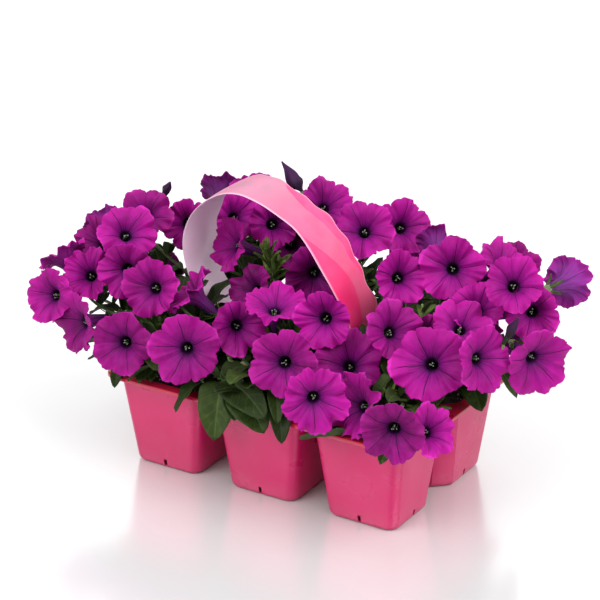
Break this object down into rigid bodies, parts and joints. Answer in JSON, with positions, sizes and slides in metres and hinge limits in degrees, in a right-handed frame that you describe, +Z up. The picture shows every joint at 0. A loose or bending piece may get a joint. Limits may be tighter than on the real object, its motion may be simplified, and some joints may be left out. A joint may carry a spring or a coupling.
{
  "type": "petunia six-cell bedding pack",
  "caption": "Moulded pink plastic tray of deep tapered cells planted with bushy magenta petunias in full bloom, under a wide arched strap handle.",
  "frame": {"origin": "on the standing surface, under the middle of the pack", "axes": "+Z up, +X along the tray's long side of three cells, -Y the long side that the picture shows"},
  "size_m": [0.4285, 0.2435, 0.2239],
  "materials": {
    "tray_plastic": "satin",
    "strap_plastic": "satin",
    "soil": "matte",
    "foliage": "matte",
    "petals": "matte"
  },
  "bodies": {
    "root": {"bloom_arch_back_three": "petals", "bloom_arch_back_two": "petals", "bloom_arch_front": "petals", "bloom_arch_low": "petals", "bloom_arch_right": "petals", "bloom_behind_left": "petals", "bloom_big_right": "petals", "bloom_bright_left": "petals", "bloom_centre_two": "petals", "bloom_crown_behind": "petals", "bloom_far_11": "petals", "bloom_far_13": "petals", "bloom_far_14": "petals", "bloom_far_15": "petals", "bloom_far_16": "petals", "bloom_front_curl": "petals", "bloom_front_five": "petals", "bloom_front_four": "petals", "bloom_front_one": "petals", "bloom_front_six": "petals", "bloom_front_three": "petals", "bloom_front_two": "petals", "bloom_left_dark": "petals", "bloom_left_inner": "petals", "bloom_left_rim": "petals", "bloom_left_tip": "petals", "bloom_left_top": "petals", "bloom_left_trumpet": "petals", "bloom_left_upper": "petals", "bloom_left_wide": "petals", "bloom_lilac_behind": "petals", "bloom_mid_right": "petals", "bloom_mid_up": "petals", "bloom_right_big": "petals", "bloom_right_dark": "petals", "bloom_right_far": "petals", "bloom_right_gap": "petals", "bloom_right_in": "petals", "bloom_right_lilac": "petals", "bloom_right_low": "petals", "bloom_right_under": "petals", "bloom_tilt_right": "petals", "bloom_top_lilac": "petals", "bloom_top_one": "petals", "bloom_top_three": "petals", "bloom_top_two": "petals", "cell_tray": "tray_plastic", "plant_back_left": "foliage", "plant_back_middle": "foliage", "plant_back_right": "foliage", "plant_front_left": "foliage", "plant_front_middle": "foliage", "plant_front_right": "foliage", "soil_back_left": "soil", "soil_back_middle": "soil", "soil_back_right": "soil", "soil_front_left": "soil", "soil_front_middle": "soil", "soil_front_right": "soil", "strap_handle": "strap_plastic"}
  },
  "joints": []
}
